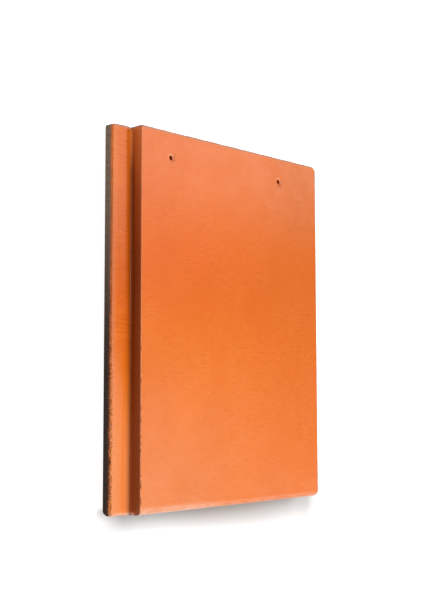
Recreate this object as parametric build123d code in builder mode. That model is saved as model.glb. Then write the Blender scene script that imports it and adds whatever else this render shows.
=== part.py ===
from build123d import *
import os

# Flat interlocking roof tile, moulded as one piece.
# Millimetres. X runs across the tile, +Y runs towards its head (the end with the nail holes),
# +Z points out of the weathered face. Z = 0 is the level that the tile lies on: the soles of
# the two hanging nibs and of the weather bars near the tail. X = 0 and Y = 0 are the middle
# of the tile's overall outline.

# ---- driving dimensions -------------------------------------------------------------------
width = 330.0             # overall, from the lock flange's outer side to the right-hand edge
length = 420.0            # overall, tail to head
flange_w = 28.0           # width of the lock flange, left of the step
step_h = 28.2             # height from the lock's underside to the weathered face
nib_drop = 6.8            # the nibs and the tail bar reach this far below the lock's underside

flange_outer_t = 12.5     # thickness of the flange at its outer side
flange_inner_t = 14.3     # and where it meets the step wall
wall_draft = 1.5          # the step wall leans out by this much from its top to its foot
wall_foot_r = 2.5         # cove at the foot of the step wall
flange_arris_r = 1.6      # rounded front arris of the flange
step_arris_r = 0.8        # arris along the top of the step
panel_t = 14.0            # thickness of the flat panel
overlock_t = 12.2         # thickness of the right-hand overlock, rebated below
overlock_w = 32.0         # width of that rebate: the flange of the next tile, with room to shift
web_w = 16.0              # web under the step, measured in from the step edge
rib_w = 16.0              # rib beside the overlock's rebate
side_draft = 6.0          # how much the sides of web and rib lean

tail_nose_r = 6.0         # rounded front arris of the tail
tail_back_r = 8.0         # rounded back arris of the tail
head_arris_r = 1.0        # front arris at the head
right_arris_r = 1.0       # front arris along the right-hand edge
corner_r_head = 9.0       # plan radius of the right-hand head corner
corner_r_tail = 7.5       # plan radius of the right-hand tail corner
corner_r_lock = 2.0       # plan radius of the flange's two outer corners

hole_r = 2.25             # nail holes
hole_from_head = 29.6     # nail hole centres, below the head end
hole_spacing = 184.0      # between the two nail holes
hole_x = -0.5             # middle of the pair, from the tile's middle
hole_mouth_r = 4.4        # the mouth of each hole is dished
hole_mouth_angle = 140.0

nib_w = 42.0              # hanging nibs: width across the tile at the sole
nib_l = 18.0              # length along the tile at the sole
nib_face_from_head = 23.0 # the nibs' bearing faces, below the head end
nib_x = 42.0              # centre of each nib, from the tile's middle

bar_x0 = 3.0              # tail bar: ends, measured from the step edge
bar_x1 = 266.0
tail_bar_y0 = 9.0         # tail bar: near side, from the tail end
tail_bar_l = 13.0
mid_bar_y0 = 46.0         # second, shallower weather bar
mid_bar_l = 11.0
mid_bar_h = 9.0
bar_lean = 2.0

# ---- derived levels -----------------------------------------------------------------------
z_lock = nib_drop                      # underside of the lock flange, web and rib
z_face = nib_drop + step_h             # weathered face
z_panel = z_face - panel_t             # underside of the panel
z_over = z_face - overlock_t           # underside of the overlock
x_left = -width / 2.0
x_step = x_left + flange_w             # top of the step wall
x_right = width / 2.0
x_rib1 = x_right - overlock_w          # the rib's outer side
x_rib0 = x_rib1 - rib_w
x_web = x_step + web_w
y_tail = -length / 2.0
y_head = length / 2.0

with BuildPart() as roof_tile:
    # Cross-section, the same from tail to head: flange, step, panel, web, rib and overlock.
    with BuildSketch(Plane.XZ.offset(length / 2.0)) as section:
        with BuildLine():
            Polyline(
                (x_left, z_lock),
                (x_left, z_lock + flange_outer_t),
                (x_step - wall_draft, z_lock + flange_inner_t),
                (x_step, z_face),
                (x_right, z_face),
                (x_right, z_over),
                (x_rib1 + 1.0, z_over),
                (x_rib1, z_lock),
                (x_rib0, z_lock),
                (x_rib0 - side_draft, z_panel),
                (x_web + side_draft, z_panel),
                (x_web, z_lock),
                close=True,
            )
        make_face()
        corners = section.vertices()
        fillet(corners.sort_by_distance((x_left, z_lock + flange_outer_t))[0], flange_arris_r)
        corners = section.vertices()
        fillet(corners.sort_by_distance((x_step - wall_draft, z_lock + flange_inner_t))[0], wall_foot_r)
        corners = section.vertices()
        fillet(corners.sort_by_distance((x_step, z_face))[0], step_arris_r)
        corners = section.vertices()
        fillet(corners.sort_by_distance((x_right, z_face))[0], right_arris_r)
    extrude(amount=-length)

    # Side profile: the rounded nose and the rounded back of the tail, and the square head.
    with BuildSketch(Plane.YZ.offset(x_left - 1.0)) as profile:
        with BuildLine():
            Polyline(
                (y_tail, z_lock),
                (y_tail, z_face),
                (y_head, z_face),
                (y_head, z_lock),
                close=True,
            )
        make_face()
        fillet(profile.vertices().sort_by_distance((y_tail, z_lock))[0], tail_back_r)
        fillet(profile.vertices().sort_by_distance((y_tail, z_face))[0], tail_nose_r)
        fillet(profile.vertices().sort_by_distance((y_head, z_face))[0], head_arris_r)
    extrude(amount=width + 2.0, mode=Mode.INTERSECT)

    # Plan outline: rounded corners.
    with BuildSketch(Plane.XY) as outline:
        Rectangle(width, length)
        fillet(outline.vertices().sort_by_distance((x_right, y_head))[0], corner_r_head)
        fillet(outline.vertices().sort_by_distance((x_right, y_tail))[0], corner_r_tail)
        fillet(outline.vertices().sort_by_distance((x_left, y_head))[0], corner_r_lock)
        fillet(outline.vertices().sort_by_distance((x_left, y_tail))[0], corner_r_lock)
    extrude(amount=z_face + 1.0, mode=Mode.INTERSECT)

    # Weather bar along the tail, down to the level that the tile lies on.
    with BuildSketch(Plane.YZ.offset(x_step + bar_x0)):
        with BuildLine():
            Polyline(
                (y_tail + tail_bar_y0 - bar_lean, z_panel + 1.0),
                (y_tail + tail_bar_y0, 0.0),
                (y_tail + tail_bar_y0 + tail_bar_l, 0.0),
                (y_tail + tail_bar_y0 + tail_bar_l + bar_lean, z_panel + 1.0),
                close=True,
            )
        make_face()
    extrude(amount=bar_x1 - bar_x0)

    # Second weather bar, further up the back and shallower.
    with BuildSketch(Plane.YZ.offset(x_web + 1.0)):
        with BuildLine():
            Polyline(
                (y_tail + mid_bar_y0 - bar_lean, z_panel + 1.0),
                (y_tail + mid_bar_y0, z_panel - mid_bar_h),
                (y_tail + mid_bar_y0 + mid_bar_l, z_panel - mid_bar_h),
                (y_tail + mid_bar_y0 + mid_bar_l + bar_lean, z_panel + 1.0),
                close=True,
            )
        make_face()
    extrude(amount=x_rib0 - x_web - 2.0)

    # Two hanging nibs at the head. Their bearing faces look towards the tail and stand upright;
    # the other sides lean in towards the sole.
    with BuildSketch(Plane.XY):
        with Locations(
            (-nib_x, y_head - nib_face_from_head + nib_l / 2.0),
            (nib_x, y_head - nib_face_from_head + nib_l / 2.0),
        ):
            Rectangle(nib_w, nib_l)
    extrude(amount=z_panel + 1.0)
    nib_ends = (
        roof_tile.faces()
        .filter_by(Axis.Z)
        .filter_by(lambda f: abs(f.center().Z) < 1e-6 and f.center().Y > 0)
    )
    chamfer(nib_ends.edges().filter_by(Axis.Y), 2.0)

    # Two nail holes with dished mouths.
    with Locations((hole_x, y_head - hole_from_head, z_face)):
        with Locations((-hole_spacing / 2.0, 0, 0), (hole_spacing / 2.0, 0, 0)):
            CounterSinkHole(
                radius=hole_r,
                counter_sink_radius=hole_mouth_r,
                counter_sink_angle=hole_mouth_angle,
            )

roof_tile.part.label = "roof_tile"
export_step(roof_tile.part, "parts/roof_tile.step")
print("volume mm3", round(roof_tile.part.volume), "valid", roof_tile.part.is_valid, "solids", len(roof_tile.part.solids()))
bb = roof_tile.part.bounding_box()
print("box", bb.min, bb.max)
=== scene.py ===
import math

import bpy
import numpy as np
from mathutils import Matrix, Vector
from mathutils.geometry import delaunay_2d_cdt


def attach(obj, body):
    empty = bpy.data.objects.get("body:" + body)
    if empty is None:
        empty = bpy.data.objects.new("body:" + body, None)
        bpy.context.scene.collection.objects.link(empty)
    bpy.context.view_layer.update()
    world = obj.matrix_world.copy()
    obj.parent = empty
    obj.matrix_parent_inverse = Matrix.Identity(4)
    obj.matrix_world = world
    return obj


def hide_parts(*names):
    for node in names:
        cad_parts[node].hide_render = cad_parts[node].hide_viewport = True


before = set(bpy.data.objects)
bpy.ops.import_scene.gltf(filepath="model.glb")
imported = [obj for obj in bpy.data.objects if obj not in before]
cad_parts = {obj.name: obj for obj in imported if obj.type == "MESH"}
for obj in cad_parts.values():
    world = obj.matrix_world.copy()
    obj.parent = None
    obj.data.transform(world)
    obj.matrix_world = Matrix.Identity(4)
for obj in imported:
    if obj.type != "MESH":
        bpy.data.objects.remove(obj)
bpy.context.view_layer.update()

# ------------------------------------------------------------------------------------------
# The tile in millimetres, in the row frame: X across, +Y to the head, +Z out of the face.
# ------------------------------------------------------------------------------------------
XL, XR = -165.0, 165.0            # lock flange's outer side, right-hand edge
YT, YH = -210.0, 210.0            # tail, head
ZL, ZF = 6.8, 35.0                # underside of the lock, weathered face
XS = -137.0                       # step edge
XFOOT, ZFOOT = -138.5, 21.1       # foot of the step wall
ZOUT = 19.3                       # flange front at its outer side
ZP, ZO = 21.0, 22.8               # underside of the panel, underside of the overlock
RIB1, RIB0, WEB = 133.0, 117.0, -121.3
SIDE_LEAN = 6.0
NOSE_R, BACK_R, HEAD_R = 6.0, 8.0, 1.0
HOLES = ((-92.5, 180.4), (91.5, 180.4))
HOLE_R, MOUTH_R, MOUTH_D = 2.25, 4.4, 0.78
HOLE_BOX = 8.0
NIB_X, NIB_HALF, NIB_Y0, NIB_Y1 = 42.0, 21.0, 187.0, 205.0
BAR1 = (-134.3, 129.0, -201.0, -188.0)      # tail weather bar: x0, x1, y0, y1 at its sole
BAR2_Y = (-164.0, -153.0)                   # shallower bar
BAR2_Z = 12.0
SUB = 4                                     # rows are this many times finer along the arrises


# ---- seeded, repeatable noise ---------------------------------------------------------------
def _hash(ix, iy, iz, seed):
    h = (ix * 374761393 + iy * 668265263 + iz * 2147483647 + seed * 974634777) & 0xFFFFFFFF
    h = ((h ^ (h >> 13)) * 1274126177) & 0xFFFFFFFF
    h = ((h ^ (h >> 16)) * 2246822519) & 0xFFFFFFFF
    return ((h ^ (h >> 15)) & 0xFFFFFF) / float(0xFFFFFF) * 2.0 - 1.0


def noise(p, size, seed=0):
    """Smooth value noise from -1 to 1; size is the cell in mm, one number or three."""
    q = np.asarray(p, float) / np.asarray(size, float)
    i = np.floor(q).astype(np.int64)
    f = q - i
    u = f * f * f * (f * (f * 6 - 15) + 10)
    out = 0.0
    for dx in (0, 1):
        wx = u[:, 0] if dx else 1 - u[:, 0]
        for dy in (0, 1):
            wy = u[:, 1] if dy else 1 - u[:, 1]
            for dz in (0, 1):
                wz = u[:, 2] if dz else 1 - u[:, 2]
                out = out + wx * wy * wz * _hash(i[:, 0] + dx, i[:, 1] + dy, i[:, 2] + dz, seed)
    return out


def smooth(a, b, x):
    t = np.clip((x - a) / (b - a), 0.0, 1.0)
    return t * t * (3 - 2 * t)


def graded(a, b, h):
    """Points from a to b, spaced as h(x) says."""
    s = np.linspace(a, b, 4001)
    d = 1.0 / h(s)
    c = np.concatenate([[0.0], np.cumsum((d[1:] + d[:-1]) / 2 * abs(b - a) / 4000)])
    n = max(1, int(math.ceil(c[-1] - 1e-6)))
    return np.interp(np.linspace(0, c[-1], n + 1), c, s)


def near(features, h0, grow, top):
    """A spacing that is h0 at each feature and grows away from it."""
    def h(x):
        best = np.full_like(np.asarray(x, float), top)
        for f in features:
            best = np.minimum(best, h0 + grow * np.abs(x - f))
        return best
    return h


# ---- the section, as one closed loop --------------------------------------------------------
CORNERS = [  # x, z, rounding
    (XL, ZL, 0.7),
    (XL, ZOUT, 1.6),
    (XFOOT, ZFOOT, 2.5),
    (XS, ZF, 0.6),
    (XR, ZF, 1.0),
    (XR, ZO, 0.6),
    (RIB1 + 1.0, ZO, 1.4),
    (RIB1, ZL, 1.0),
    (RIB0, ZL, 1.0),
    (RIB0 - SIDE_LEAN, ZP, 2.2),
    (WEB + SIDE_LEAN, ZP, 2.2),
    (WEB, ZL, 1.0),
]


def section_loop():
    n = len(CORNERS)
    P = [np.array(c[:2]) for c in CORNERS]
    arcs = []
    for k in range(n):
        a, p, b, r = P[k - 1], P[k], P[(k + 1) % n], CORNERS[k][2]
        u, v = (a - p) / np.linalg.norm(a - p), (b - p) / np.linalg.norm(b - p)
        half = math.acos(np.clip(u @ v, -1, 1)) / 2
        t = r / math.tan(half)
        c = p + (u + v) / np.linalg.norm(u + v) * (r / math.sin(half))
        s, e = p + u * t, p + v * t
        a0 = math.atan2(*(s - c)[::-1])
        a1 = math.atan2(*(e - c)[::-1])
        d = (a1 - a0 + math.pi) % (2 * math.pi) - math.pi
        step = 0.32 if k in (1, 3) else (0.45 if k in (0, 2, 4) else 0.7)
        m = max(3, int(math.ceil(abs(d) * r / step)))
        ang = a0 + d * np.linspace(0, 1, m + 1)
        arcs.append((s, e, np.stack([c[0] + r * np.cos(ang), c[1] + r * np.sin(ang)], 1)))
    hole_cols = [np.arange(-HOLE_BOX, HOLE_BOX + 0.5, 1.0) + cx for cx, _ in HOLES]
    pts, tag = [], []
    for k in range(n):
        pts += list(arcs[k][2])
        tag += ["arc%d" % k] * len(arcs[k][2])
        s, e = arcs[k][1], arcs[(k + 1) % n][0]
        L = np.linalg.norm(e - s)
        if k == 3:        # panel front, left to right
            h = near([s[0], e[0]], 0.5, 0.18, 3.3)
            x = [graded(s[0], hole_cols[0][0], h)[1:-1], hole_cols[0],
                 graded(hole_cols[0][-1], hole_cols[1][0], near([hole_cols[0][-1], hole_cols[1][0]], 1.0, 0.25, 3.3))[1:-1],
                 hole_cols[1], graded(hole_cols[1][-1], e[0], h)[1:-1]]
            x = np.concatenate(x)
            z = np.full_like(x, ZF)
        elif k == 9:      # panel underside, right to left
            brk = [-NIB_X - NIB_HALF, -NIB_X + NIB_HALF, NIB_X - NIB_HALF, NIB_X + NIB_HALF]
            marks = []
            for b in brk:
                sgn = 1 if (abs(b) > NIB_X) else -1
                sgn = sgn * (1 if b > 0 else -1)
                marks += [b - 2.0 * sgn, b, b + 0.5 * sgn]
            marks = sorted(marks, reverse=True)
            stops = [s[0], hole_cols[1][-1], hole_cols[1][0], *marks, hole_cols[0][-1], hole_cols[0][0], e[0]]
            x = []
            for q0, q1 in zip(stops[:-1], stops[1:]):
                if (q0, q1) == (hole_cols[1][-1], hole_cols[1][0]):
                    x.append(hole_cols[1][::-1][:-1])
                elif (q0, q1) == (hole_cols[0][-1], hole_cols[0][0]):
                    x.append(hole_cols[0][::-1][:-1])
                else:
                    x.append(graded(q0, q1, near([q0, q1], 1.5, 0.5, 8.0))[:-1])
            x = np.concatenate(x)[1:]
            z = np.full_like(x, ZP)
        elif k == 7:      # rib underside, right to left, with the tail bar's end
            x = np.concatenate([graded(s[0], BAR1[1] + 1.0, near([s[0]], 1.0, 0.3, 3.0))[1:],
                                graded(BAR1[1] + 1.0, BAR1[1], near([0], 0.5, 0.0, 0.5))[1:],
                                graded(BAR1[1], e[0], near([e[0]], 1.0, 0.3, 3.0))[1:-1]])
            z = np.full_like(x, ZL)
        elif k == 11:     # underside of web and flange, right to left
            x = np.concatenate([graded(s[0], BAR1[0], near([s[0], BAR1[0]], 0.8, 0.3, 3.5))[1:],
                                graded(BAR1[0], BAR1[0] - 1.0, near([0], 0.5, 0.0, 0.5))[1:],
                                graded(BAR1[0] - 1.0, e[0], near([e[0]], 0.8, 0.3, 3.5))[1:-1]])
            z = np.full_like(x, ZL)
        else:
            step = {0: 0.85, 1: 1.0, 2: 1.0, 4: 1.3, 5: 3.5, 6: 2.0, 8: 2.0, 10: 2.0}[k]
            if k == 1:
                t = graded(0, L, near([0], 0.45, 0.12, 1.15))[1:-1] / L
            else:
                t = np.linspace(0, 1, max(2, int(math.ceil(L / step))) + 1)[1:-1]
            x, z = s[0] + (e[0] - s[0]) * t, s[1] + (e[1] - s[1]) * t
        pts += list(np.stack([x, z], 1))
        tag += ["edge%d" % k] * len(x)
    return np.array(pts), np.array(tag)


LOOP, TAG = section_loop()
N = len(LOOP)
ARC = np.concatenate([[0], np.cumsum(np.linalg.norm(np.diff(LOOP, axis=0), axis=1))])


# ---- how far the tail and the head stand back from the ends of the box ----------------------
def smax(a, b, k):
    """The larger of two, blended over about k mm so that the crease is worn round."""
    h = np.clip(0.5 + 0.5 * (a - b) / k, 0, 1)
    return b * (1 - h) + a * h + k * h * (1 - h) * 0.5


def tail_off(x, z):
    zt = np.clip((z - (ZF - NOSE_R)) / NOSE_R, 0, 1)
    nose = NOSE_R * (1 - np.sqrt(np.maximum(0, 1 - zt * zt)))
    zb = np.clip((ZL + BACK_R - z) / BACK_R, 0, 1)
    back = BACK_R * (1 - np.sqrt(np.maximum(0, 1 - zb * zb)))
    # front arris of the lock flange at the tail
    top = ZOUT + (ZFOOT - ZOUT) * (x - XL) / (XFOOT - XL)
    zt2 = np.clip((z - (top - 1.7)) / 1.7, 0, 1) * (x < XFOOT - 0.2)
    lip = 1.7 * (1 - np.sqrt(np.maximum(0, 1 - zt2 * zt2))) * (x < XFOOT - 0.2)
    off = np.maximum(nose, np.maximum(back, lip))
    rc = 7.5
    cx = np.clip((x - (XR - rc)) / rc, 0, 1)
    corner = rc * (1 - np.sqrt(np.maximum(0, 1 - cx * cx)))
    rc = 2.0
    cl = np.clip(((XL + rc) - x) / rc, 0, 1)
    left = rc * (1 - np.sqrt(np.maximum(0, 1 - cl * cl)))
    return np.maximum(smax(off, corner, 1.0), left)


def head_off(x, z):
    zt = np.clip((z - (ZF - HEAD_R)) / HEAD_R, 0, 1)
    arris = HEAD_R * (1 - np.sqrt(np.maximum(0, 1 - zt * zt)))
    rc = 9.0
    cx = np.clip((x - (XR - rc)) / rc, 0, 1)
    corner = rc * (1 - np.sqrt(np.maximum(0, 1 - cx * cx)))
    rc = 2.0
    cl = np.clip(((XL + rc) - x) / rc, 0, 1)
    left = rc * (1 - np.sqrt(np.maximum(0, 1 - cl * cl)))
    return np.maximum(smax(arris, corner, 0.6), left)


def under(x, y, z):
    """Bars and nibs: the back comes down to here."""
    x0, x1, y0, y1 = BAR1
    s = np.maximum.reduce([(y0 - y) / 2.0, (y - y1) / 2.0, (x0 - x) / 1.0 * 8.0 / 21.0, (x - x1) / 1.0 * 8.0 / 21.0, np.zeros_like(x)])
    zz = np.minimum(z, s * 22.0)
    s = np.maximum.reduce([(BAR2_Y[0] - y) / 2.0, (y - BAR2_Y[1]) / 2.0, np.zeros_like(x)])
    inside = (x > WEB - 0.5) & (x < RIB0 + 0.5)
    zz = np.where(inside, np.minimum(zz, BAR2_Z + s * 10.0), zz)
    for c in (-NIB_X, NIB_X):
        side = np.abs(x - c) - NIB_HALF
        s = np.maximum.reduce([(NIB_Y0 - y) / 0.25, (y - NIB_Y1) / 0.4, side / 0.5, np.zeros_like(x)]) * 21.0
        s = np.maximum(s, side + 2.0)
        zz = np.minimum(zz, s)
    return zz


# ---- rows along the tile ---------------------------------------------------------------------
marks = [YT, -203.0, -201.0, -188.0, -186.0, -166.0, -164.0, -153.0, -151.0,
         HOLES[0][1] - HOLE_BOX, 186.75, 187.0, HOLES[0][1] + HOLE_BOX, 205.0, 205.4, YH]
rows = []
for a, b in zip(marks[:-1], marks[1:]):
    if a == HOLES[0][1] - HOLE_BOX:
        rows.append(np.arange(a, 186.5, 1.0))
        continue
    rows.append(graded(a, b, near([a, b], 0.8, 0.34, 3.0))[:-1])
ROWS = np.concatenate(rows + [np.array([YH])])
M = len(ROWS)
FROWS = np.interp(np.arange((M - 1) * SUB + 1) / SUB, np.arange(M), ROWS)

FINE = np.zeros(N, bool)
for i in range(N):
    t = TAG[i]
    if t in ("arc1", "arc3") or (t == "edge0" and LOOP[i, 1] > 13.0):
        FINE[i] = True
a1 = np.where(TAG == "arc1")[0][-1]
a3 = np.where(TAG == "arc3")[0]
for i in range(N):
    if TAG[i] == "edge1" and ARC[i] - ARC[a1] < 3.2:
        FINE[i] = True
    if TAG[i] == "edge2" and ARC[a3[0]] - ARC[i] < 1.6:
        FINE[i] = True
    if TAG[i] == "edge3" and ARC[i] - ARC[a3[-1]] < 1.6:
        FINE[i] = True

verts, quads, tris = [], [], []
index = {}


def y_of(i, rows_):
    x, z = LOOP[i]
    t = float(tail_off(np.array([x]), np.array([z]))[0])
    h = float(head_off(np.array([x]), np.array([z]))[0])
    D = 16.0
    y = rows_.copy()
    k = y < YT + D
    y[k] = YT + t + (y[k] - YT) * (D - t) / D
    k = y > YH - D
    y[k] = YH - h - (YH - y[k]) * (D - h) / D
    return y


col = []
count = 0
V = []
for i in range(N):
    rr = FROWS if FINE[i] else ROWS
    y = y_of(i, rr)
    x = np.full_like(y, LOOP[i, 0])
    z = np.full_like(y, LOOP[i, 1])
    back = TAG[i] in ("arc7", "arc8", "arc9", "arc10", "arc11", "edge7", "edge8", "edge9", "edge10", "edge11", "arc6", "edge6")
    if back:
        z = under(x, y, z)
    V.append(np.stack([x, y, z], 1))
    col.append(count + np.arange(len(y)))
    count += len(y)
V = np.concatenate(V)

hole_cells = {0: set(), 1: set()}
front = [i for i in range(N) if TAG[i] == "edge3"]
backs = [i for i in range(N) if TAG[i] == "edge9"]


def hole_range(ids, cx):
    xs = np.array([LOOP[i, 0] for i in ids])
    return [i for i, x in zip(ids, xs) if abs(x - cx) < HOLE_BOX + 1e-6]


r0 = int(np.argmin(np.abs(ROWS - (HOLES[0][1] - HOLE_BOX))))
r1 = int(np.argmin(np.abs(ROWS - (HOLES[0][1] + HOLE_BOX))))
skip = set()
hole_cols_f, hole_cols_b = [], []
for cx, cy in HOLES:
    hf, hb = hole_range(front, cx), hole_range(backs, cx)
    hole_cols_f.append(hf)
    hole_cols_b.append(hb)
    for ids in (hf, hb):
        for i in ids[:-1]:
            for j in range(r0, r1):
                skip.add((i, j))

Q, T = [], []
for i in range(N):
    k = (i + 1) % N
    a, b = col[i], col[k]
    if FINE[i] == FINE[k]:
        m = len(a) - 1
        for j in range(m):
            if (i, j) in skip:
                continue
            Q.append((a[j], a[j + 1], b[j + 1], b[j]))
    else:
        for j in range(M - 1):
            if FINE[i]:
                f = a[j * SUB:(j + 1) * SUB + 1]
                c0, c1 = b[j], b[j + 1]
                mid = SUB // 2
                for q in range(SUB):
                    T.append((f[q], f[q + 1], c0 if q < mid else c1))
                T.append((f[mid], c1, c0))
            else:
                f = b[j * SUB:(j + 1) * SUB + 1]
                c0, c1 = a[j], a[j + 1]
                mid = SUB // 2
                for q in range(SUB):
                    T.append((f[q + 1], f[q], c0 if q < mid else c1))
                T.append((c0, c1, f[mid]))

# ---- nail holes: rings from the square gap in the grid down through the panel ---------------
extra = []


def add(p):
    extra.append(p)
    return count + len(extra) - 1


hole_ring_ids = []
for (cx, cy), hf, hb in zip(HOLES, hole_cols_f, hole_cols_b):
    hb = hb[::-1]                                  # now left to right, like the front
    js = list(range(r0, r1 + 1))

    def ring(ids):
        out = [col[ids[0]][j] for j in js]                      # left side, tail to head
        out += [col[i][js[-1]] for i in ids[1:]]                # head side, left to right
        out += [col[ids[-1]][j] for j in js[::-1][1:]]          # right side, head to tail
        out += [col[i][js[0]] for i in ids[::-1][1:-1]]         # tail side, right to left
        return out

    top, bot = ring(hf), ring(hb)
    ang = np.array([math.atan2(V[v][1] - cy, V[v][0] - cx) for v in top])
    sq = np.array([[V[v][0] - cx, V[v][1] - cy] for v in top])
    prev = top
    made = []
    depth = [(0.35, None, 0.0), (0.65, None, 0.0), (1.0, 6.0, 0.0), (1, 5.2, 0.0), (1, MOUTH_R, -0.02),
             (1, 3.8, -0.20), (1, 3.2, -0.42), (1, 2.7, -0.60), (1, 2.4, -MOUTH_D), (1, HOLE_R, -1.3),
             (1, HOLE_R, -2.6), (1, HOLE_R, -4.4), (1, HOLE_R, -6.4), (1, HOLE_R, -8.6), (1, HOLE_R, -10.8),
             (1, HOLE_R, -13.0), (1, HOLE_R + 0.4, -(ZF - ZP))]
    for t, r, dz in depth:
        ids = []
        for a, s in zip(ang, sq):
            circ = np.array([math.cos(a), math.sin(a)]) * (6.0 if r is None else r)
            q = s * (1 - t) + circ * t if r is None else circ
            ids.append(add((cx + q[0], cy + q[1], ZF + dz)))
        made.append((r, dz, ids))
        n = len(ids)
        for q in range(n):
            Q.append((prev[q], prev[(q + 1) % n], ids[(q + 1) % n], ids[q]))
        prev = ids
    for t in (0.0, 0.5):
        ids = []
        for a, s in zip(ang, sq):
            circ = np.array([math.cos(a), math.sin(a)]) * 3.6
            q = circ * (1 - t) + s * t
            ids.append(add((cx + q[0], cy + q[1], ZP)))
        for q in range(n):
            Q.append((prev[q], prev[(q + 1) % n], ids[(q + 1) % n], ids[q]))
        prev = ids
    for q in range(n):
        Q.append((prev[q], prev[(q + 1) % n], bot[(q + 1) % n], bot[q]))
    hole_ring_ids.append(made)
count += len(extra)
V = np.concatenate([V, np.array(extra)])

# ---- tail and head faces ---------------------------------------------------------------------
caps = {}
for name, off, row, flip in (("tail", tail_off, 0, False), ("head", head_off, -1, True)):
    zs = list(np.arange(ZL + 1.0, ZF - NOSE_R - 0.3, 2.0))
    if name == "tail":
        zs += [ZF - NOSE_R + NOSE_R * math.sin(math.radians(a)) for a in range(0, 89, 9)]
    else:
        zs += [29.0, 31.0, 33.0, 34.0, 34.5]
    xs = list(graded(XL + 0.8, XR - 0.5, near([XL, XFOOT, XS, XR], 0.8, 0.2, 3.0)))
    poly = LOOP
    inner = []
    for x in xs:
        for z in zs:
            inner.append((x, z))
    inner = np.array(inner)
    # keep those inside, and not too close to the boundary
    px, pz = poly[:, 0], poly[:, 1]
    qx, qz = np.roll(px, -1), np.roll(pz, -1)
    keep = []
    for x, z in inner:
        cross = ((pz > z) != (qz > z)) & (x < (qx - px) * (z - pz) / (qz - pz + 1e-12) + px)
        if cross.sum() % 2 == 0:
            continue
        dx, dz = qx - px, qz - pz
        t = np.clip(((x - px) * dx + (z - pz) * dz) / (dx * dx + dz * dz), 0, 1)
        if np.hypot(px + t * dx - x, pz + t * dz - z).min() < 0.35:
            continue
        keep.append((x, z))
    co2 = [Vector((float(a), float(b))) for a, b in poly] + [Vector((float(a), float(b))) for a, b in keep]
    edges = [(i, (i + 1) % N) for i in range(N)]
    out = delaunay_2d_cdt(co2, edges, [], 1, 1e-5)
    ov, of, orig = out[0], out[2], out[3]
    remap = {}
    new = []
    for q, src in enumerate(orig):
        src = [s for s in src]
        b = [s for s in src if s < N]
        if b:
            remap[q] = int(col[b[0]][row])
        else:
            x, z = ov[q]
            y = (YT + float(off(np.array([x]), np.array([z]))[0])) if name == "tail" else (YH - float(off(np.array([x]), np.array([z]))[0]))
            new.append((x, y, z))
            remap[q] = count + len(new) - 1
    count += len(new)
    V = np.concatenate([V, np.array(new)]) if new else V
    for f in of:
        ids = [remap[v] for v in f]
        # wound like the long faces, which run the other way round from the CDT at the tail
        T.append(tuple(ids) if flip else tuple(ids[::-1]))

Q = np.array(Q, int)
T = np.array(T, int)
print("grid", N, M, "verts", len(V), "quads", len(Q), "tris", len(T), "triangles", 2 * len(Q) + len(T))


# ---- worn edges, undulation, chips -----------------------------------------------------------
def vertex_normals(P):
    n = np.zeros_like(P)
    for f in (Q, T):
        if f.shape[1] == 4:
            a = np.cross(P[f[:, 2]] - P[f[:, 0]], P[f[:, 3]] - P[f[:, 1]])
        else:
            a = np.cross(P[f[:, 1]] - P[f[:, 0]], P[f[:, 2]] - P[f[:, 0]])
        for k in range(f.shape[1]):
            np.add.at(n, f[:, k], a)
    return n / np.maximum(np.linalg.norm(n, axis=1), 1e-12)[:, None]


def volume(P):
    v = 0.0
    for f in (Q, T):
        for k in range(1, f.shape[1] - 1):
            v += np.einsum("ij,ij->", P[f[:, 0]], np.cross(P[f[:, k]], P[f[:, k + 1]])) / 6
    return v


if volume(V) < 0:
    Q, T = Q[:, ::-1].copy(), T[:, ::-1].copy()
NRM = vertex_normals(V)
X, Y, Z = V[:, 0], V[:, 1], V[:, 2]
d_out = np.hypot(X - XL, Z - ZOUT)                 # from the flange's outer arris
d_step = np.hypot(X - XS, Z - ZF)                  # from the step arris
on_face = smooth(ZF - 0.6, ZF - 0.05, Z) * (X > XS - 0.2)
tailness = smooth(60.0, -190.0, Y)                 # 0 over the head half, 1 at the tail

depth = np.zeros(len(V))
# long, shallow undulation and the cross-ways ripple of the face
und = 0.055 * (1 + noise(V, (75, 60, 75), 3)) + 0.03 * (1 + noise(V, (26, 7, 26), 5))
depth += on_face * und * smooth(0.3, 4.0, X - XS) * smooth(0.5, 4.0, XR - X)
# flange front
on_flange = ((X < XFOOT) & (Z > ZOUT - 0.4) & (Z < ZFOOT + 1.0)) * smooth(0.6, 3.0, X - XL)
depth += on_flange * 0.04 * (1 + noise(V, (12, 16, 12), 7))
# sandy outer arris of the flange, coarser towards the tail
m = smooth(3.0, 0.9, d_out)
g = 0.5 + 0.55 * noise(V, (2.0, 1.5, 2.0), 11) + 0.14 * noise(V, (5.0, 4.6, 5.0), 12)
gritty = np.clip(g, 0, 1.4)
depth += m * gritty * (0.25 + 0.50 * tailness)
# step arris: slightly wavy, with a few chips
m = smooth(1.7, 0.5, d_step)
wav = 0.06 * (1 + noise(V, (8, 11, 8), 17)) + 0.05 * (1 + noise(V, (3, 3.1, 3), 18))
nick = np.clip(noise(V, (5.0, 3.0, 5.0), 19) - 0.38, 0, 1) + np.clip(noise(V, (3.0, 1.6, 3.0), 20) - 0.30, 0, 1)
chip = nick * (0.4 + 1.3 * tailness)
depth += m * (wav + chip)
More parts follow.
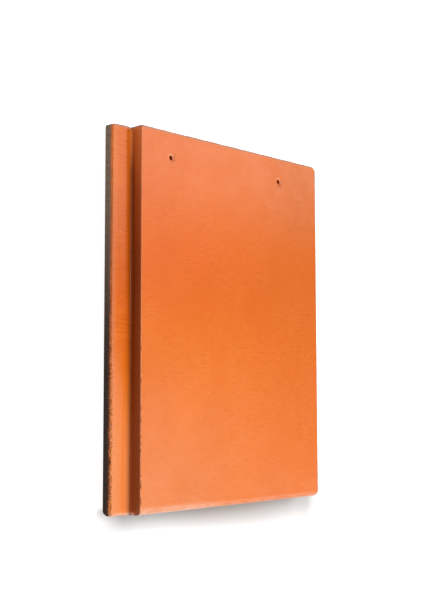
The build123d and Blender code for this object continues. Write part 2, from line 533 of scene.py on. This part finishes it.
# tail nose, right arris and head arris
m = smooth(9.0, 1.0, Y - YT) * (Z > ZF - 7)
depth += m * 0.09 * (1 + noise(V, (9, 5, 5), 23))
m = smooth(2.0, 0.6, np.hypot(X - XR, Z - ZF))
depth += m * (0.10 * (1 + noise(V, (4, 6, 4), 29)) + 0.5 * np.clip(noise(V, (4, 5, 4), 30) - 0.5, 0, 1))
m = smooth(2.4, 0.5, YH - Y) * smooth(3.0, 0.3, ZF - Z) * (X > XS)
depth += m * (0.03 * (1 + noise(V, (7, 4, 4), 31)) + 0.6 * np.clip(noise(V, (5, 4, 4), 32) - 0.45, 0, 1))
m = smooth(2.4, 0.5, YH - Y) * (X < XS) * (Z > ZOUT - 3)
depth += m * 0.12 * (1 + noise(V, (5, 4, 4), 33))
# the flange was cut a little short at the head, most of all beside the step
cut = smooth(7.0, 0.0, YH - Y) * smooth(XS + 1.0, XS - 1.5, X)
cut = cut * (0.85 + 0.12 * noise(V, (6, 6, 6), 34) + 0.9 * smooth(7.0, 0.5, np.hypot(X - XFOOT, Z - ZFOOT)))
# crumbled foot of the step wall at the tail
m = smooth(4.2, 0.6, np.sqrt((X - XFOOT) ** 2 + ((Y - YT - 2.4) / 1.2) ** 2 + (Z - 23.0) ** 2))
depth += m * 0.7 * (0.6 + 0.4 * noise(V, (2.5, 2.5, 2.5), 37))
# broken rims of the nail holes
for k, (cx, cy) in enumerate(HOLES):
    r = np.hypot(X - cx, Y - cy)
    a = np.arctan2(Y - cy, X - cx)
    lobes = 0.5 + 0.5 * np.sin(a * 3 + 1.3 + k) * np.sin(a * 2 - 0.7 * k) + 0.5 * noise(V, (1.6, 1.6, 1.6), 41 + k)
    depth += (Z > ZF - 2.0) * smooth(5.0, 2.7, r) * smooth(2.0, 2.4, r) * np.clip(lobes, 0, 1.2) * 0.30
    # the mouth is dragged out towards the right, where the punch came away
    q = np.hypot((X - cx - 2.6) / 1.15, (Y - cy + 0.6 - 1.6 * k * 0.5) / 0.95)
    depth += (Z > ZF - 2.0) * smooth(4.4, 1.2, q) * smooth(2.0, 2.4, r) * (0.25, 0.55)[k]
    # and a low burr stands on its left
    depth += on_face * smooth(11.0, 6.0, r) * (0.10 - 0.10 * smooth(6.4, 4.8, r) * smooth(3.0, 4.2, r) * np.clip(0.6 - np.cos(a - 0.5), 0, 1.2))
V = V - NRM * depth[:, None]
V[:, 1] -= cut
# at the left-hand hole the burr closes a little of the mouth
cx, cy = HOLES[0]
r, a = np.hypot(X - cx, Y - cy), np.arctan2(Y - cy, X - cx)
shut = 0.75 * (Z > ZF - 3.0) * smooth(ZF - 2.8, ZF - 1.4, Z) * smooth(3.4, 2.5, r) * np.clip(np.cos(a - 0.7), 0, 1)
V[:, 0] -= shut * np.cos(a)
V[:, 1] -= shut * np.sin(a)
# the inner corner of the step is crisper towards the tail
near_foot = np.hypot(X - XFOOT, Z - ZFOOT)
V -= NRM * (0.75 * tailness * smooth(2.4, 0.9, near_foot) * (Z > ZOUT - 0.5))[:, None]
# and its front sinks a little beside the step, towards the tail
V[:, 2] -= 1.0 * tailness * smooth(15.0, 0.8, XFOOT - X) * (X < XFOOT + 1.0) * smooth(25.0, 21.8, Z) * (Z > ZOUT - 0.5)
V[:, 0] = np.clip(V[:, 0], XL, XR)
V[:, 1] = np.clip(V[:, 1], YT, YH)
V[:, 2] = np.clip(V[:, 2], 0.0, ZF)

# ---- where the orange coat lies, as millimetres inside (+) or outside (-) its ragged edge ----
back_like = np.zeros(len(V), bool)
for i in range(N):
    if TAG[i] in ("arc5", "edge5", "arc6", "edge6", "arc7", "edge7", "arc8", "edge8", "arc9", "edge9", "arc10", "edge10", "arc11", "edge11", "arc0"):
        back_like[col[i]] = True
coat = np.full(len(V), 12.0)
side = X < XL + 1.2
ragged = (gritty - 0.55) * (0.3 + 0.35 * tailness)
coat = np.where(side | (d_out < 3.0), np.minimum(coat, Z - (ZOUT - 1.9 - 1.0 * smooth(-185, -205, Y) - 0.4 * smooth(60, 180, Y)) + np.maximum(0.0, X - XL - 0.6) * 1.6 - ragged), coat)
right = X > XR - 6
coat = np.where(right & (Z > ZF - 1.2), np.minimum(coat, (XR - 0.9) - X + (Z - ZF) * 1.0), coat)
top_here = np.where(X < XFOOT, ZOUT + (ZFOOT - ZOUT) * (X - XL) / (XFOOT - XL), ZF)
coat = np.where(YH - Y < 6, np.minimum(coat, (YH - Y) - 0.6), coat)
wrap = smooth(YT + 12.0, YT + 4.0, Y)
bare = wrap * np.minimum(2.5, Z - (ZF - 6.5)) + (1 - wrap) * (-3.0 + np.minimum(0, Z - ZF + 4) * 0.5)
coat = np.where((NRM[:, 0] > 0.35) & (X > XR - 10) & (Z < ZF - 0.8), np.minimum(coat, bare), coat)
coat = np.where((NRM[:, 1] > 0.6) & (Y > YH - 10) & (Z < top_here - 0.8), -3.0 + np.minimum(0, Z - top_here + 4) * 0.5, coat)
coat = np.where((Y - YT < 6.5) & (NRM[:, 1] < -0.6) & (Z < top_here - 3.0), np.minimum(coat, Z - (top_here - 9.0)), coat)
coat[back_like] = -12.0
for (made, (cx, cy)) in zip(hole_ring_ids, HOLES):
    for r, dz, ids in made:
        if dz < -9.0:
            coat[ids] = -1.0 + (dz + 9.0) * 0.8
# the back is bare everywhere, round the nail holes and under the rounded tail too
coat = np.where((NRM[:, 2] < -0.2) & (Z < top_here - 5.0), -12.0, coat)
coat = np.where((X > XL + 1.2) & (Z < ZOUT - 9.0), np.minimum(coat, -3.0), coat)
coat = np.clip(coat, -12, 12)

arris = smooth(1.6, 0.2, d_step)
outer = smooth(5.5, 0.3, d_out)
# nose: mask for a painted highlight along the tail's rounded nose
nose = smooth(np.where(X < XS - 0.5, 4.6, 10.5 - 2.2 * smooth(-55, 20, X)), 1.2, Y - YT) * (Z > ZOUT - 3)
thin = np.maximum(smooth(4.2, 0.9, YH - Y + 0.5 * noise(V, (7, 7, 7), 51)),
                  smooth(2.6, 0.5, XR - X + 0.3 * noise(V, (5, 5, 5), 52)))
thin *= ((Z > ZOUT - 2) & ~back_like) * smooth(2.6, 0.8, top_here - Z)
bore, burr_painted_highlight, mouth_painted_shade, scuff = (np.zeros(len(V)) for _ in range(4))
for k, (cx, cy) in enumerate(HOLES):
    dx, dy = X - cx, Y - cy
    r, a = np.hypot(dx, dy), np.arctan2(dy, dx)
    up = (Z > ZP - 0.5) & (r < 12)
    bore = np.maximum(bore, smooth(0.15, 0.75, ZF - Z) * smooth(2.9, 2.2, r) * up)
    # painted highlight on the burr, up and to the left; painted shade in the mouth on the right; scuffs round about
    scuff = np.maximum(scuff, smooth(3.6, 1.6, np.hypot(dx - 5.0, (dy - 4.6) * 0.8)) * up)
    burr_painted_highlight = np.maximum(burr_painted_highlight, smooth(5.8, 4.0, r) * smooth(2.4, 3.2, r) * np.clip(0.35 + np.cos(a - (2.2, 1.5)[k]), 0, 1) * up)
    mouth_painted_shade = np.maximum(mouth_painted_shade, (0.7, 1.0)[k] * smooth(7.2, 2.6, np.hypot(dx - 2.2, (dy + (0.2, 1.8)[k]) * 0.9)) * np.clip(0.5 + np.cos(a - (0.1, -0.6)[k]), 0, 1) * up)
# painted shade in the inner corner at the foot of the step wall, narrower towards the tail and none at the head
narrow = 5.0 - 3.1 * tailness
foot_painted_shade = smooth(narrow, 0.8, np.hypot(X - XFOOT, Z - ZFOOT)) * (Z > ZOUT - 1) * (1 - 0.35 * tailness) * smooth(200, 150, Y)
# painted shade on the side of the step wall; the nicks in the step arris are painted dark with it
step_side_shade = smooth(1.2, 2.6, Z - ZFOOT) * smooth(0.10, 0.8, ZF - Z) * (X > XFOOT - 2.0) * (X < XS + 1.2)
notch = smooth(2.2, 0.6, d_step) * np.clip(nick * 3.0, 0, 1) * (0.25 + 0.75 * tailness)
step_side_shade = np.maximum(step_side_shade, notch * (X > XS - 0.6))
# knocked-off corner where the foot of the step meets the tail, painted pale as a highlight
toe_painted_highlight = smooth(5.0, 1.5, np.hypot((X - XFOOT) / 1.4, (Z - ZFOOT - 1.0) / 1.2)) * smooth(3.4, 1.4, Y - YT)
step_side_shade *= 1 - toe_painted_highlight
foot_painted_shade *= 1 - toe_painted_highlight

me = bpy.data.meshes.new("tile_fired")
me.from_pydata((V / 1000.0).tolist(), [], Q.tolist() + T.tolist())
me.update()
for name, data in (("coat", coat), ("arris", arris), ("outer", outer), ("nose", nose), ("thin", thin), ("bore", bore),
                   ("burr_painted_highlight", burr_painted_highlight), ("mouth_painted_shade", mouth_painted_shade), ("scuff", scuff), ("foot_painted_shade", foot_painted_shade), ("step_side_shade", step_side_shade), ("toe_painted_highlight", toe_painted_highlight)):
    at = me.attributes.new(name, "FLOAT", "POINT")
    at.data.foreach_set("value", np.asarray(data, np.float32))
tile = bpy.data.objects.new("tile_fired", me)
bpy.context.scene.collection.objects.link(tile)
me.polygons.foreach_set("use_smooth", np.ones(len(me.polygons), bool))
me.set_sharp_from_angle(angle=math.radians(50))
print("verts", len(V), "triangles", 2 * len(Q) + len(T), "volume mm3", round(volume(V)))


# ---- finish ----------------------------------------------------------------------------------
class Nodes:
    """Small helper that strings shader nodes together."""

    def __init__(self, name):
        self.mat = bpy.data.materials.new(name)
        self.mat.use_nodes = True
        self.t = self.mat.node_tree
        self.bsdf = self.t.nodes["Principled BSDF"]
        co = self.t.nodes.new("ShaderNodeTexCoord")
        self.obj = co.outputs["Object"]

    def put(self, node, key, v):
        s = node.inputs[key]
        if isinstance(v, bpy.types.NodeSocket):
            self.t.links.new(v, s)
        else:
            s.default_value = v

    def scaled(self, sx, sy, sz, shift=(0, 0, 0)):
        """Object coordinates where one unit is sx, sy, sz millimetres."""
        n = self.t.nodes.new("ShaderNodeMapping")
        self.t.links.new(self.obj, n.inputs["Vector"])
        n.inputs["Location"].default_value = shift
        n.inputs["Scale"].default_value = (1000 / sx, 1000 / sy, 1000 / sz)
        return n.outputs["Vector"]

    def noise(self, vec, detail=2.0, rough=0.5, distort=0.0):
        n = self.t.nodes.new("ShaderNodeTexNoise")
        self.t.links.new(vec, n.inputs["Vector"])
        n.inputs["Scale"].default_value = 1.0
        n.inputs["Detail"].default_value = detail
        n.inputs["Roughness"].default_value = rough
        n.inputs["Distortion"].default_value = distort
        return n.outputs["Fac"]

    def cells(self, vec, feature="F1", randomness=1.0):
        n = self.t.nodes.new("ShaderNodeTexVoronoi")
        n.feature = feature
        self.t.links.new(vec, n.inputs["Vector"])
        n.inputs["Scale"].default_value = 1.0
        n.inputs["Randomness"].default_value = randomness
        return n

    def attr(self, name):
        n = self.t.nodes.new("ShaderNodeAttribute")
        n.attribute_name = name
        return n.outputs["Fac"]

    def ramp(self, v, a, b, lo=0.0, hi=1.0, soft=True):
        n = self.t.nodes.new("ShaderNodeMapRange")
        n.interpolation_type = "SMOOTHSTEP" if soft else "LINEAR"
        self.put(n, "Value", v)
        n.inputs["From Min"].default_value = a
        n.inputs["From Max"].default_value = b
        n.inputs["To Min"].default_value = lo
        n.inputs["To Max"].default_value = hi
        return n.outputs["Result"]

    def math(self, op, a, b=0.0, clamp=False):
        n = self.t.nodes.new("ShaderNodeMath")
        n.operation = op
        n.use_clamp = clamp
        self.put(n, 0, a)
        self.put(n, 1, b)
        return n.outputs[0]

    def mix(self, f, a, b, mode="MIX"):
        n = self.t.nodes.new("ShaderNodeMix")
        n.data_type = "RGBA"
        n.blend_type = mode
        n.clamp_factor = True
        self.put(n, 0, f)
        for k, v in ((6, a), (7, b)):
            s = n.inputs[k]
            if isinstance(v, bpy.types.NodeSocket):
                self.t.links.new(v, s)
            else:
                s.default_value = (*v, 1.0)
        return n.outputs[2]

    def stops(self, v, *stops):
        n = self.t.nodes.new("ShaderNodeValToRGB")
        self.put(n, 0, v)
        e = n.color_ramp.elements
        while len(e) > 1:
            e.remove(e[0])
        e[0].position, e[0].color = stops[0][0], (*stops[0][1], 1)
        for p, c in stops[1:]:
            k = e.new(p)
            k.color = (*c, 1)
        return n.outputs["Color"]

    def axis(self, k):
        n = self.t.nodes.new("ShaderNodeSeparateXYZ")
        self.t.links.new(self.obj, n.inputs[0])
        return n.outputs[k]


def finish_tile():
    s = Nodes("coated_tile")
    add, mul = "ADD", "MULTIPLY"
    x, y = s.axis(0), s.axis(1)

    # ragged edge of the coat, and the few grains of it that hold on beyond
    rag = s.math(add, s.ramp(s.noise(s.scaled(1.3, 1.5, 1.3), 3, 0.65), 0.3, 0.7, -1.0, 1.0, False),
                 s.ramp(s.noise(s.scaled(6, 9, 6), 2), 0.3, 0.7, -0.35, 0.35, False))
    rag = s.math(mul, rag, s.ramp(s.attr("outer"), 0.0, 0.5, 1.0, 2.0))
    coat = s.ramp(s.math(add, s.attr("coat"), rag), -0.35, 0.35)

    flange = s.ramp(x, -0.1372, -0.1390)
    # cross-ways ripple left by the smoothing of the face, in patches
    ripple = s.noise(s.scaled(12.0, 1.6, 12.0), 2.3, 0.52, 0.25)
    patch = s.ramp(s.noise(s.scaled(55, 45, 55), 2), 0.38, 0.62)
    grain = s.noise(s.scaled(0.75, 0.75, 0.75), 3, 0.65)
    broad = s.noise(s.scaled(95, 120, 95), 3, 0.5)
    mottle = s.noise(s.scaled(17, 12, 17), 3, 0.6)

    # coat colour, with painted shade: a shade darker to the right and above the middle
    base = s.mix(s.ramp(broad, 0.35, 0.65), (0.735, 0.153, 0.011), (0.790, 0.173, 0.015))
    base = s.mix(s.ramp(mottle, 0.3, 0.7, 0.0, 0.30), base, (0.77, 0.186, 0.026))
    painted_shade_right = s.math(mul, s.ramp(x, -0.10, 0.165), s.ramp(y, -0.20, 0.06, 0.45, 1.0))
    base = s.mix(painted_shade_right, base, (0.625, 0.139, 0.013))
    rip = s.math(mul, s.ramp(ripple, 0.38, 0.62, 0.0, 1.0), s.ramp(patch, 0, 1, 0.35, 1.0))
    base = s.mix(s.math(mul, rip, s.ramp(flange, 0.0, 1.0, 0.11, 0.16)), base, (0.92, 0.28, 0.07))
    low = s.math(mul, s.ramp(ripple, 0.46, 0.32), s.ramp(patch, 0, 1, 0.3, 1.0))
    base = s.mix(s.math(mul, low, s.ramp(flange, 0.0, 1.0, 0.22, 0.31)), base, (0.50, 0.097, 0.016))
    base = s.mix(s.ramp(grain, 0.56, 0.80, 0.0, 0.13), base, (0.90, 0.30, 0.09))
    base = s.mix(s.ramp(grain, 0.44, 0.22, 0.0, 0.17), base, (0.52, 0.114, 0.022))
    # painted shade: darker and redder over the head half, and along the right, where less light falls; the next lines
    # paint small tints of light and shade on the right, the upper right and the lower left
    painted_shade_head = s.math(mul, s.ramp(y, -0.045, 0.065), s.ramp(x, -0.08, 0.15, 1.0, 0.2))
    base = s.mix(painted_shade_head, base, s.mix(1.0, base, (0.935, 0.785, 0.70), "MULTIPLY"))
    base = s.mix(s.ramp(x, -0.08, 0.15), base, s.mix(1.0, base, (1.0, 0.945, 1.15), "MULTIPLY"))
    base = s.mix(s.math(mul, s.ramp(y, 0.095, 0.140), s.ramp(x, 0.05, 0.13)), base, s.mix(1.0, base, (0.915, 0.915, 0.91), "MULTIPLY"))
    base = s.mix(s.math(mul, s.ramp(y, -0.12, -0.19), s.ramp(x, 0.00, -0.10)), base, s.mix(1.0, base, (0.965, 0.99, 0.99), "MULTIPLY"))
    # the flange, with painted light and shade: a painted sheen towards its outer arris, painted shade against the
    # lamps' sheen along its middle and head, and deeper, lighter colour beside the step as painted light
    base = s.mix(s.math(mul, flange, s.ramp(y, -0.15, -0.03, 0.0, 0.9)), base, s.mix(1.0, base, (1.01, 0.91, 0.30), "MULTIPLY"))
    base = s.mix(s.math(mul, flange, s.ramp(y, -0.02, -0.15, 0.0, 0.62)), base, (0.88, 0.222, 0.014))
    base = s.mix(s.math(mul, flange, s.ramp(y, 0.09, 0.16)), base, s.mix(1.0, base, (0.985, 1.08, 0.40), "MULTIPLY"))
    upper = s.math(mul, s.ramp(y, 0.005, 0.065), s.ramp(y, 0.170, 0.105))
    base = s.mix(s.math(mul, flange, upper), base, s.mix(1.0, base, (0.905, 0.915, 0.50), "MULTIPLY"))
    beside_step_painted_light = s.math(mul, flange, s.ramp(x, -0.156, -0.141))
    base = s.mix(s.math(mul, beside_step_painted_light, s.ramp(y, -0.10, 0.04, 0.0, 0.9)), base, s.mix(1.0, base, (0.94, 0.90, 1.4), "MULTIPLY"))
    base = s.mix(s.math(mul, beside_step_painted_light, s.ramp(y, -0.02, -0.15, 0.0, 0.80)), base, (1.0, 0.222, 0.018))
    # painted light in the corner of the step at the tail
    tail_corner_painted_light = s.math(mul, s.math(mul, s.ramp(x, -0.1495, -0.1460), s.ramp(x, -0.1372, -0.1385)), s.ramp(y, -0.05, -0.17))
    base = s.mix(s.math(mul, tail_corner_painted_light, 0.85), base, (1.0, 0.305, 0.095))
    # painted light where the step's side meets the head, as light as the flange
    head_corner_painted_light = s.math(mul, s.math(mul, s.ramp(x, -0.1445, -0.1400), s.ramp(x, -0.1360, -0.1375)), s.ramp(y, 0.135, 0.200))
    base = s.mix(s.math(mul, head_corner_painted_light, 0.8), base, (0.97, 0.235, 0.030))
    # painted sheen: paler beside the flange's outer arris
    base = s.mix(s.ramp(x, -0.1550, -0.1620, 0.0, 0.13), base, (0.86, 0.36, 0.15))
    # a few pale specks and small dark pits, far apart
    speck = s.cells(s.scaled(15, 10, 15))
    sc = s.t.nodes.new("ShaderNodeSeparateColor")
    s.t.links.new(speck.outputs["Color"], sc.inputs[0])
    dot = s.ramp(speck.outputs["Distance"], 0.115, 0.060)
    base = s.mix(s.math(mul, s.math(mul, dot, s.ramp(sc.outputs[0], 0.60, 0.70)), 0.20), base, (0.94, 0.42, 0.20))
    base = s.mix(s.math(mul, s.math(mul, dot, s.ramp(sc.outputs[0], 0.26, 0.18)), 0.38), base, (0.42, 0.08, 0.014))
    # painted sheen: paler, pinker colour towards the head and the tail, in soft clouds
    painted_sheen = s.math(add, s.math(mul, s.ramp(y, 0.070, 0.205, 0.0, 0.20), s.ramp(x, -0.12, 0.15, 0.85, 1.15)),
                   s.math(mul, s.ramp(y, 0.00, -0.200, 0.0, 0.20), s.ramp(x, -0.13, 0.15, 1.0, 0.35)), True)
    painted_sheen = s.math(add, painted_sheen, s.math(mul, s.ramp(y, -0.160, -0.206, 0.0, 0.08), s.ramp(x, -0.02, 0.10)), True)
    cloud = s.ramp(s.noise(s.scaled(34, 24, 34), 3, 0.55), 0.32, 0.68, 0.80, 1.20)
    painted_sheen = s.math(mul, s.math(mul, painted_sheen, cloud), s.ramp(x, -0.136, -0.140, 1.0, 0.12))
    base = s.mix(painted_sheen, base, (0.93, 0.42, 0.25))
    # painted highlight along the tail's rounded nose, strongest on the left
    nose = s.math(mul, s.attr("nose"), s.ramp(x, -0.070, 0.025, 0.66, 0.14))
    nose = s.math(mul, nose, s.ramp(s.noise(s.scaled(9, 4, 4), 2), 0.35, 0.65, 0.75, 1.1))
    base = s.mix(nose, base, (0.95, 0.54, 0.38))
    # painted highlight and wear: paler along the step arris
    arris = s.math(mul, s.attr("arris"), s.ramp(s.noise(s.scaled(1.6, 1.3, 1.6), 3, 0.6), 0.35, 0.6, 0.05, 0.5))
    base = s.mix(arris, base, (0.86, 0.36, 0.15))
    # grit showing through beside the outer arris, more of it towards the tail
    grit = s.math(mul, s.attr("outer"), s.ramp(y, 0.10, -0.12, 0.25, 1.0))
    fine = s.noise(s.scaled(1.3, 1.7, 1.3), 2, 0.6)
    base = s.mix(s.math(mul, grit, s.ramp(fine, 0.48, 0.64, 0.0, 0.95)), base, (0.24, 0.068, 0.020))
    base = s.mix(s.math(mul, grit, s.ramp(fine, 0.44, 0.34, 0.0, 0.62)), base, (0.92, 0.42, 0.25))
    worn = s.math(mul, s.attr("outer"), s.math(mul, s.ramp(y, -0.08, 0.00), s.ramp(y, 0.17, 0.13)))
    base = s.mix(s.math(mul, worn, 0.24), base, (0.38, 0.095, 0.026))
    # thinner coat over the cut edges at the head and on the right
    base = s.mix(s.math(mul, s.attr("thin"), s.ramp(s.noise(s.scaled(2.6, 2.2, 2.6), 3, 0.6), 0.3, 0.7, 0.55, 1.0)), base, (0.52, 0.235, 0.150))
    # painted shade on the side of the step and in the nicks of its arris, lighter towards the head
    base = s.mix(s.math(mul, s.attr("step_side_shade"), s.ramp(y, 0.04, 0.195, 0.82, 0.30)), base, (0.225, 0.044, 0.010))
    # the nail holes
    base = s.mix(s.math(mul, s.attr("scuff"), 0.45), base, (0.80, 0.150, 0.006))
    # painted shade in the mouth, right of each hole, and a painted highlight on the burr
    base = s.mix(s.math(mul, s.attr("mouth_painted_shade"), 0.48), base, (0.36, 0.075, 0.016))
    base = s.mix(s.math(mul, s.attr("burr_painted_highlight"), 0.34), base, (0.95, 0.46, 0.28))
    base = s.mix(s.attr("bore"), base, (0.40, 0.035, 0.004))
    # painted highlight on the knocked-off corner at the tail's step foot
    base = s.mix(s.math(mul, s.attr("toe_painted_highlight"), 0.85), base, (0.92, 0.50, 0.31))

    # bare body: grey-brown, sandy
    sand = s.cells(s.scaled(0.95, 0.95, 0.95))
    body = s.stops(s.ramp(s.noise(s.scaled(1.9, 1.9, 1.9), 4, 0.7), 0.25, 0.75, 0.0, 1.0, False),
                   (0.0, (0.060, 0.040, 0.026)), (0.45, (0.160, 0.106, 0.068)), (0.75, (0.255, 0.178, 0.120)), (1.0, (0.40, 0.30, 0.21)))
    n = s.t.nodes.new("ShaderNodeSeparateColor")
    s.t.links.new(sand.outputs["Color"], n.inputs[0])
    body = s.mix(s.ramp(n.outputs[0], 0.55, 0.95, 0.0, 0.45), body, (0.30, 0.235, 0.175))
    body = s.mix(s.ramp(n.outputs[1], 0.6, 0.95, 0.0, 0.5), body, (0.045, 0.030, 0.021))
    # painted shade: the outer side is painted darker towards the tail
    outer = s.math(mul, s.ramp(x, -0.1615, -0.1635), s.ramp(y, 0.20, -0.06, 0.0, 0.96))
    side_painted_shade = s.mix(s.ramp(y, 0.06, -0.12), (0.018, 0.0060, 0.0020), (0.0050, 0.0012, 0.0004))
    body = s.mix(outer, body, s.mix(s.ramp(s.noise(s.scaled(3, 5, 3), 3, 0.6), 0.35, 0.65), side_painted_shade, (0.034, 0.0130, 0.0042)))
    # and just below the coat, the coat's reddish wrap-over is painted dark as shade, darker towards the tail
    wrap_painted_shade = s.mix(s.ramp(y, 0.16, -0.05), (0.30, 0.120, 0.052), (0.120, 0.030, 0.008))
    under = s.math(mul, s.ramp(s.math(add, s.attr("coat"), rag), -5.0, -0.3, 0.0, 0.85), s.ramp(x, -0.155, -0.163, 0.25, 1.0))
    body = s.mix(under, body, wrap_painted_shade)

    colour = s.mix(coat, body, base)
    # painted shade at the foot of the step
    colour = s.mix(s.math(mul, s.attr("foot_painted_shade"), 0.6), colour, (0.16, 0.032, 0.006))
    s.put(s.bsdf, "Base Color", colour)

    rough = s.math(add, s.ramp(grain, 0.2, 0.8, 0.24, 0.34), s.ramp(coat, 1.0, 0.0, 0.0, 0.42))
    rough = s.math(add, rough, s.math(mul, s.math(mul, flange, coat), -0.15))
    s.put(s.bsdf, "Roughness", rough)
    s.bsdf.inputs["IOR"].default_value = 1.5
    s.bsdf.inputs["Specular IOR Level"].default_value = 0.17

    # relief: ripple and grain of the coat, sand of the body
    h = s.math(add, s.math(mul, s.math(mul, ripple, s.ramp(patch, 0, 1, 0.5, 1.0)), 0.11), s.math(mul, grain, 0.028))
    h = s.math(mul, h, s.ramp(flange, 0.0, 1.0, 1.0, 0.18))
    hb = s.math(mul, s.math(add, s.math(mul, sand.outputs["Distance"], -0.6), s.noise(s.scaled(1.3, 1.3, 1.3), 4, 0.7)), 0.42)
    hm = s.t.nodes.new("ShaderNodeMix")
    hm.data_type = "FLOAT"
    s.put(hm, 0, coat)
    s.put(hm, 2, hb)
    s.put(hm, 3, h)
    lip = s.math(mul, coat, 0.10)
    b = s.t.nodes.new("ShaderNodeBump")
    b.inputs["Strength"].default_value = 1.0
    b.inputs["Distance"].default_value = 0.001
    s.t.links.new(s.math(add, hm.outputs[0], lip), b.inputs["Height"])
    s.t.links.new(b.outputs["Normal"], s.bsdf.inputs["Normal"])
    return s.mat


me.materials.append(finish_tile())
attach(tile, "root")
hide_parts("roof_tile")

# ---- floor, light, camera --------------------------------------------------------------------
fmesh = bpy.data.meshes.new("floor")
fmesh.from_pydata([(-6, -6, 0), (6, -6, 0), (6, 6, 0), (-6, 6, 0)], [], [(0, 1, 2, 3)])
floor = bpy.data.objects.new("floor", fmesh)
bpy.context.scene.collection.objects.link(floor)
fl = Nodes("floor")
fm = fl.mat
fb = fl.bsdf
fb.inputs["Base Color"].default_value = (0.52, 0.52, 0.52, 1)
fb.inputs["Roughness"].default_value = 0.9
# a light table, with a shadow painted in a soft strip below the tail, broader to the right: its glow is dimmed and its
# colour darkened there
wide = fl.ramp(fl.axis(0), -0.10, 0.12, 1.0, 1.40)
tail_shadow = fl.ramp(fl.math("DIVIDE", fl.math("ADD", fl.axis(1), 0.211), wide), -0.045, 0.0)
tail_shadow = fl.math("MULTIPLY", tail_shadow, fl.ramp(fl.axis(1), -0.199, -0.209))
tail_shadow = fl.math("MULTIPLY", tail_shadow, fl.math("MULTIPLY", fl.ramp(fl.axis(0), -0.198, -0.125), fl.ramp(fl.axis(0), 0.226, 0.180)))
fl.put(fb, "Emission Color", fl.mix(tail_shadow, (1, 1, 1), (0.060, 0.045, 0.035)))
tail_shadow_grey = fl.math("MULTIPLY", tail_shadow, fl.math("MULTIPLY", fl.ramp(fl.axis(0), -0.11, 0.00), fl.ramp(fl.axis(0), 0.05, 0.17, 1.0, 0.45)))
# painted shadow: the floor's colour is darker in the strip below the tail
fl.put(fb, "Base Color", fl.mix(tail_shadow_grey, (0.52, 0.52, 0.52), (0.39, 0.355, 0.335)))
fb.inputs["Emission Strength"].default_value = 0.92
fmesh.materials.append(fm)

world = bpy.data.worlds.new("studio")
bpy.context.scene.world = world
world.use_nodes = True
world.node_tree.nodes["Background"].inputs[0].default_value = (1, 1, 1, 1)
world.node_tree.nodes["Background"].inputs[1].default_value = 0.12


def softbox(name, azimuth, elevation, distance, width, height, radiance, target=(0, 0, 0.03)):
    """An area light; azimuth is from +X towards +Y, elevation above the floor, in degrees."""
    a, e = math.radians(azimuth), math.radians(elevation)
    t = Vector(target)
    loc = t + distance * Vector((math.cos(e) * math.cos(a), math.cos(e) * math.sin(a), math.sin(e)))
    l = bpy.data.lights.new(name, "AREA")
    l.shape = "RECTANGLE"
    l.size, l.size_y = width, height
    l.energy = 4 * width * height * radiance
    o = bpy.data.objects.new(name, l)
    o.location = loc
    o.rotation_euler = (t - loc).to_track_quat("-Z", "Y").to_euler()
    bpy.context.scene.collection.objects.link(o)
    return o


softbox("key", 5, 82, 2.4, 1.8, 1.8, 3.86)
softbox("head_sheen", 38, 50, 2.0, 1.0, 0.7, 3.1)
softbox("tail_sheen", -26, 57, 2.0, 0.9, 0.6, 3.1)
softbox("nose_strip", -36, 22, 2.0, 0.8, 1.1, 2.5)

cam = bpy.data.cameras.new("camera")
co = bpy.data.objects.new("camera", cam)
bpy.context.scene.collection.objects.link(co)
bpy.context.scene.camera = co
fwd = Vector((0.71727744, 0.08685532, -0.69135319)).normalized()
up = Vector((-0.06162569, 0.99622008, 0.0612195)).normalized()
right = fwd.cross(up).normalized()
up = right.cross(fwd).normalized()
co.matrix_world = Matrix((
    (right.x, up.x, -fwd.x, -0.880298),
    (right.y, up.y, -fwd.y, -0.082583),
    (right.z, up.z, -fwd.z, 0.857491),
    (0, 0, 0, 1)))
cam.sensor_width = 36.0
cam.sensor_fit = "AUTO"
cam.lens = 61.4396
cam.clip_start, cam.clip_end = 0.05, 50

bpy.context.scene.view_settings.view_transform = "Standard"
bpy.context.scene.view_settings.look = "None"
bpy.context.scene.view_settings.exposure = 0.0
bpy.context.scene.view_settings.gamma = 1.0
